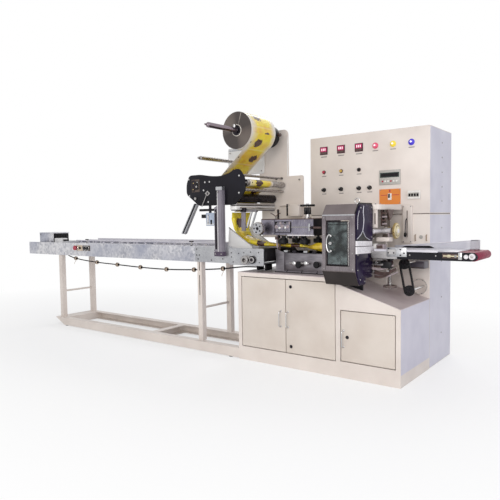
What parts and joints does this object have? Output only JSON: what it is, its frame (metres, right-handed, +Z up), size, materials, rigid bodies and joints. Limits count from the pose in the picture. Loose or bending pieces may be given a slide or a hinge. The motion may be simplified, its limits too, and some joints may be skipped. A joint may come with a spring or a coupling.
{
  "type": "horizontal pouch packing machine",
  "caption": "Horizontal flow-wrap packing machine with long infeed conveyor, film reel, cream cabinets, guarded end sealer and short discharge belt.",
  "frame": {"origin": "on the floor, in the middle of the front cabinet's length", "axes": "+X along the machine in the direction the packs travel, +Y from the operator's side to the back, +Z up"},
  "size_m": [4.489, 1.231, 1.786],
  "materials": {
    "cream_paint": "satin",
    "chrome": "polished",
    "black_plastic": "matte",
    "orange_panel": "satin",
    "galvanised_steel": "brushed",
    "bright_steel": "brushed",
    "grey_paint": "satin",
    "white_plastic": "gloss",
    "rubber_belt": "matte",
    "printed_film": "gloss",
    "card_core": "matte",
    "black_plate": "gloss",
    "smoked_window": "gloss",
    "brass_gear": "machined"
  },
  "bodies": {
    "machine": {"cabinet_front": "cream_paint", "cabinet_deck": "cream_paint", "cabinet_sides": "cream_paint", "cabinet_back": "cream_paint", "tall_cabinet_lower": "cream_paint", "tall_cabinet_upper": "cream_paint", "drive_housing": "cream_paint", "plinth": "cream_paint", "base_frame": "cream_paint", "sealer_plates": "cream_paint", "sealing_jaws": "chrome", "handwheel_stems": "chrome", "hinge_pins": "chrome", "temperature_controllers": "black_plastic", "control_buttons": "black_plastic", "levelling_feet": "black_plastic", "print_sensor": "black_plastic", "face_units": "orange_panel", "infeed_sides": "galvanised_steel", "conveyor_legs": "galvanised_steel", "unwind_plate": "galvanised_steel", "guide_rollers": "galvanised_steel", "spare_shaft_bracket": "galvanised_steel", "discharge_rollers": "galvanised_steel", "infeed_bed": "bright_steel", "forming_box": "bright_steel", "film_tube": "bright_steel", "seal_bench": "bright_steel", "pulling_wheels": "bright_steel", "drive_head": "bright_steel", "seal_head": "bright_steel", "guard_hood": "bright_steel", "infeed_fittings": "grey_paint", "rear_frame_plate": "grey_paint", "front_post": "grey_paint", "seal_control_box": "white_plastic", "feed_belt": "rubber_belt", "discharge_belt": "rubber_belt", "drive_belt": "rubber_belt", "hanging_cable": "rubber_belt", "film_web": "printed_film", "roller_side_plate": "black_plate", "discharge_sides": "black_plate", "jaw_gears": "brass_gear"},
    "left_door": {"left_door": "cream_paint", "left_door_handle": "chrome"},
    "right_door": {"right_door": "cream_paint", "right_door_fittings": "chrome"},
    "small_door": {"small_door": "cream_paint", "small_door_fittings": "chrome"},
    "guard_window": {"guard_window": "smoked_window", "window_handle": "chrome"},
    "reel": {"unwind_shaft": "chrome", "film_reel": "printed_film", "reel_core": "card_core", "brake_hub": "black_plastic"},
    "upper_handwheel": {"upper_handwheel": "black_plastic"},
    "lower_handwheel": {"lower_handwheel": "black_plastic"}
  },
  "joints": [
    {"name": "left_door_hinge", "type": "hinge", "parent": "machine", "child": "left_door", "pos_m": [-0.56, -0.24, 0.351], "axis": [0, 0, -1], "range_deg": [0, 95]},
    {"name": "right_door_hinge", "type": "hinge", "parent": "machine", "child": "right_door", "pos_m": [0.165, -0.24, 0.351], "axis": [0, 0, 1], "range_deg": [0, 95]},
    {"name": "small_door_hinge", "type": "hinge", "parent": "machine", "child": "small_door", "pos_m": [0.56, -0.24, 0.268], "axis": [0, 0, 1], "range_deg": [0, 95]},
    {"name": "guard_window_hinge", "type": "hinge", "parent": "machine", "child": "guard_window", "pos_m": [0.34, -0.386, 0.8575], "axis": [0, 0, 1], "range_deg": [0, 100]},
    {"name": "reel_spin", "type": "hinge", "parent": "machine", "child": "reel", "pos_m": [-0.647, -0.03, 1.652], "axis": [0, 1, 0], "continuous": true},
    {"name": "upper_handwheel_spin", "type": "hinge", "parent": "machine", "child": "upper_handwheel", "pos_m": [-0.138, -0.05, 1.097], "axis": [0, 0, 1], "continuous": true},
    {"name": "lower_handwheel_spin", "type": "hinge", "parent": "machine", "child": "lower_handwheel", "pos_m": [0.462, -0.06, 0.576], "axis": [0, 0, 1], "continuous": true}
  ]
}
